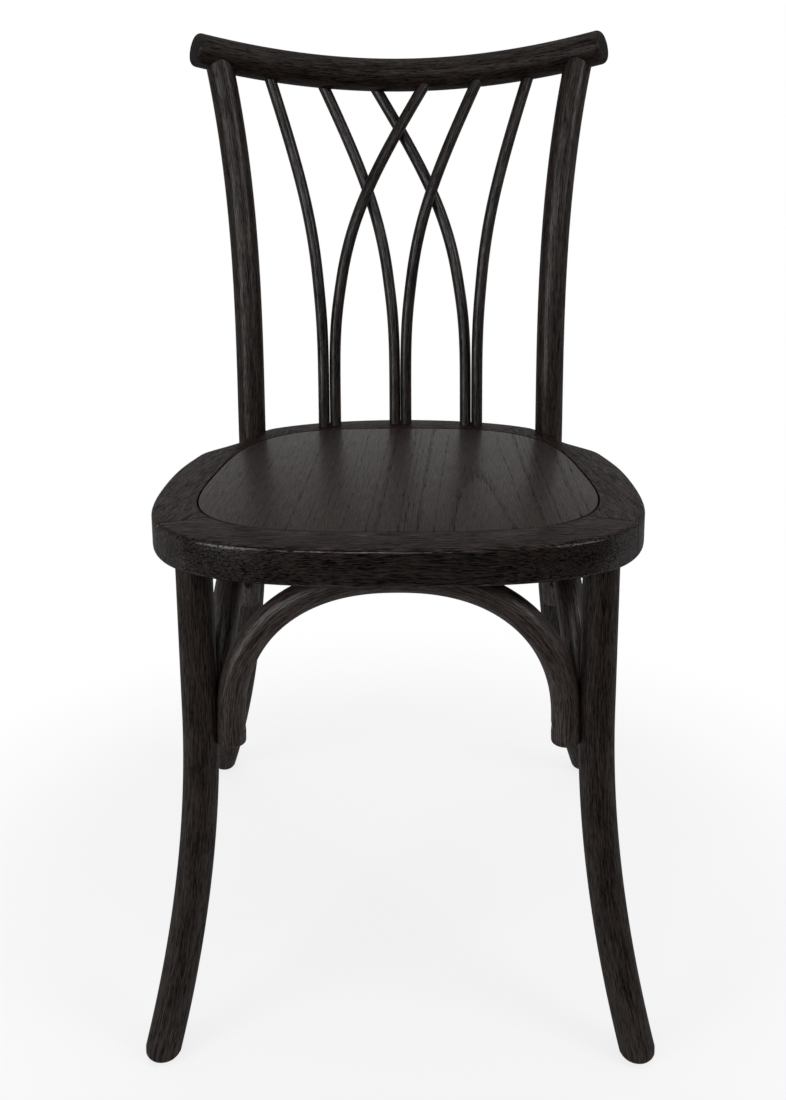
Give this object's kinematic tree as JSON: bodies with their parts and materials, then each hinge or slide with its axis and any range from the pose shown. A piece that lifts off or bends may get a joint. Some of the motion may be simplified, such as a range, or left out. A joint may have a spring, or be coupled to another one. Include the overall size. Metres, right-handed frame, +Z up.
{
  "type": "wooden dining chair",
  "caption": "Black-stained wooden dining chair with bowed back legs, crossing back spindles under a curved crest rail, a flat framed seat and arched braces between splayed legs.",
  "frame": {"origin": "on the floor, in the middle of the chair's outer box", "axes": "+Z up; the sitter faces -Y; +X is to the right when the chair is seen from the front"},
  "size_m": [0.4732, 0.503, 0.8711],
  "materials": {
    "frame_wood": "black stain and satin lacquer over open grain",
    "seat_wood": "black stain and satin lacquer over open grain",
    "spindle_wood": "black stain and satin lacquer over fine grain",
    "bare_dowel": "bare turned hardwood, glued in",
    "black_steel": "black zinc-plated steel",
    "black_nylon": "moulded black nylon"
  },
  "bodies": {
    "root": {"back_leg_bolt_left": "black_steel", "back_leg_bolt_right": "black_steel", "back_leg_left": "frame_wood", "back_leg_right": "frame_wood", "crest_rail": "frame_wood", "front_arch": "frame_wood", "front_arch_crown_screw_1": "black_steel", "front_arch_crown_screw_2": "black_steel", "front_arch_end_screw_1": "black_steel", "front_arch_end_screw_2": "black_steel", "front_leg_left": "frame_wood", "front_leg_right": "frame_wood", "glide_back_left": "black_nylon", "glide_back_right": "black_nylon", "glide_front_left": "black_nylon", "glide_front_right": "black_nylon", "left_arch": "frame_wood", "left_arch_crown_screw_1": "black_steel", "left_arch_crown_screw_2": "black_steel", "left_arch_end_screw_1": "black_steel", "left_arch_end_screw_2": "black_steel", "right_arch": "frame_wood", "right_arch_crown_screw_1": "black_steel", "right_arch_crown_screw_2": "black_steel", "right_arch_end_screw_1": "black_steel", "right_arch_end_screw_2": "black_steel", "seat_back_rail": "seat_wood", "seat_dowel_back_left_1": "bare_dowel", "seat_dowel_back_left_2": "bare_dowel", "seat_dowel_back_right_1": "bare_dowel", "seat_dowel_back_right_2": "bare_dowel", "seat_dowel_front_left_1": "bare_dowel", "seat_dowel_front_left_2": "bare_dowel", "seat_dowel_front_right_1": "bare_dowel", "seat_dowel_front_right_2": "bare_dowel", "seat_front_rail": "seat_wood", "seat_left_rail": "seat_wood", "seat_panel": "seat_wood", "seat_right_rail": "seat_wood", "spindle_1": "spindle_wood", "spindle_2": "spindle_wood", "spindle_3": "spindle_wood", "spindle_4": "spindle_wood", "spindle_5": "spindle_wood", "spindle_6": "spindle_wood"}
  },
  "joints": []
}
